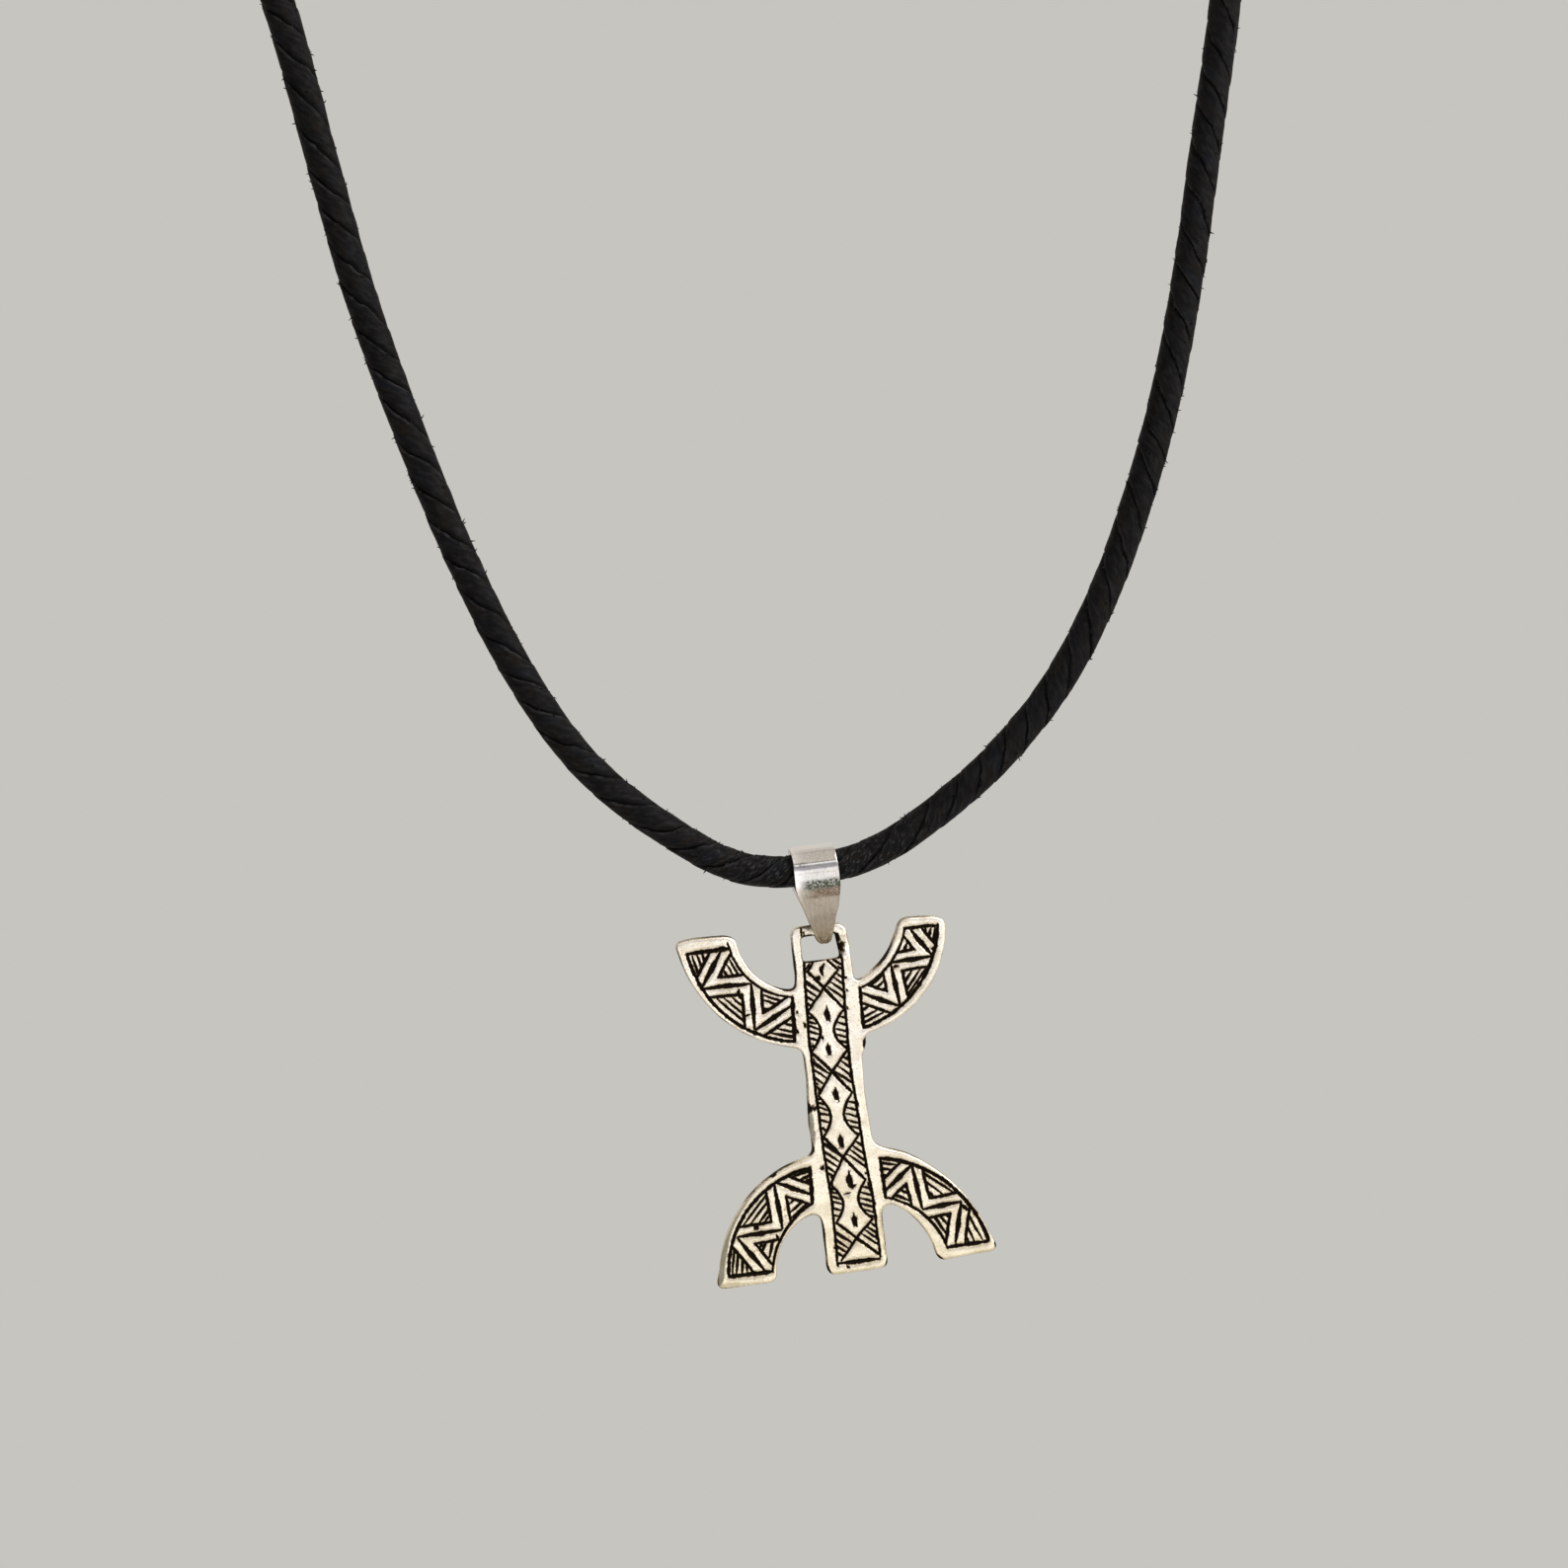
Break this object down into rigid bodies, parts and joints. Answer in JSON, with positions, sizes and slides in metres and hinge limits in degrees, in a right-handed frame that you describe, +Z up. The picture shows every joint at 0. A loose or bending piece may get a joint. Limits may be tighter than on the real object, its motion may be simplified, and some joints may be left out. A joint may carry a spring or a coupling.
{
  "type": "berber pendant necklace",
  "caption": "Necklace of a silver yaz symbol plate with crescent arms, hung by a folded bail from a loop of wound leather cord closed at the nape by a plain clasp.",
  "frame": {"origin": "underside of the clasp at the nape, where the necklace rests on the back of the neck or on a hook", "axes": "+Z up, the loop and the pendant hang down along -Z in the plane y = 0; the engraved front of the pendant faces -Y; +X is to the right seen from the front"},
  "size_m": [0.1064, 0.0044, 0.2197],
  "materials": {
    "wound_leather": "black dyed leather lace wound on its core, low sheen",
    "clasp_metal": "satin silvered metal",
    "bail_silver": "satin silver sheet, lightly tarnished",
    "cast_silver": "tumbled bright silver with black oxide in the engraved lines"
  },
  "bodies": {
    "necklace": {"leather_cord": "wound_leather", "clasp": "clasp_metal"},
    "bail": {"bail": "bail_silver"},
    "pendant": {"yaz_pendant": "cast_silver"}
  },
  "joints": [
    {"name": "bail_swing", "type": "hinge", "parent": "necklace", "child": "bail", "pos_m": [0, 0, -0.176], "axis": [1, 0, 0], "range_deg": [-90, 90]},
    {"name": "pendant_swing", "type": "hinge", "parent": "bail", "child": "pendant", "pos_m": [0, 0, -0.18205], "axis": [1, 0, 0], "range_deg": [-120, 120]}
  ]
}
